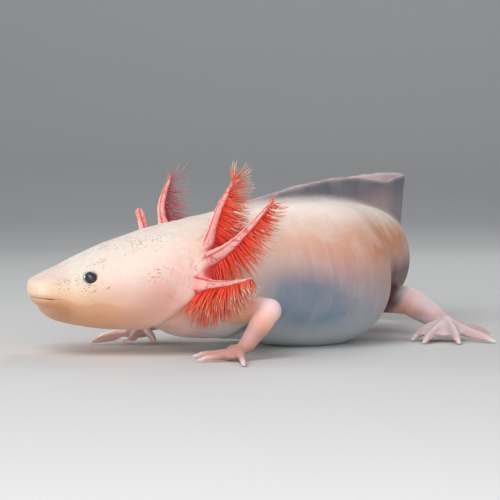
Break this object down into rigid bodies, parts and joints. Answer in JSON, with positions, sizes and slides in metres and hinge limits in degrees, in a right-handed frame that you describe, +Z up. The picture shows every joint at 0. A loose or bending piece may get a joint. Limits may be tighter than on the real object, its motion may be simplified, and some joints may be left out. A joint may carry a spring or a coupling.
{
  "type": "axolotl",
  "caption": "Still life-size pale axolotl resting on its belly and feet, feathery red gills spread and the finned tail curled back behind it.",
  "frame": {"origin": "near the middle of the flat under the belly, on the floor", "axes": "+Z up from the floor; the snout points to -X and a little to -Y, the animal's left side faces -Y, and the tail folds away to +Y"},
  "size_m": [0.1036, 0.1648, 0.0398],
  "materials": {
    "body_skin": "moist satin skin",
    "jaw_skin": "moist satin skin",
    "leg_skin": "moist satin skin",
    "fin": "thin translucent skin",
    "gill": "soft wet filaments",
    "eye": "wet gloss"
  },
  "bodies": {
    "root": {"eye_left": "eye", "eye_right": "eye", "head": "body_skin", "lower_jaw": "jaw_skin", "neck": "body_skin", "chest": "body_skin", "belly": "body_skin", "pelvis": "body_skin", "tail_base": "body_skin", "tail_middle": "body_skin", "tail_end": "body_skin", "dorsal_fin": "fin", "tail_fin_upper_front": "fin", "tail_fin_upper_middle": "fin", "tail_fin_lower_front": "fin", "tail_fin_lower_middle": "fin", "tail_fin_end": "fin", "upper_arm_left": "leg_skin", "forearm_left": "leg_skin", "hand_left": "leg_skin", "upper_arm_right": "leg_skin", "forearm_right": "leg_skin", "hand_right": "leg_skin", "thigh_left": "leg_skin", "shin_left": "leg_skin", "foot_left": "leg_skin", "thigh_right": "leg_skin", "shin_right": "leg_skin", "foot_right": "leg_skin", "gill_left_upper": "gill", "gill_left_middle": "gill", "gill_left_lower": "gill", "gill_right_upper": "gill", "gill_right_middle": "gill", "gill_right_lower": "gill"}
  },
  "joints": []
}
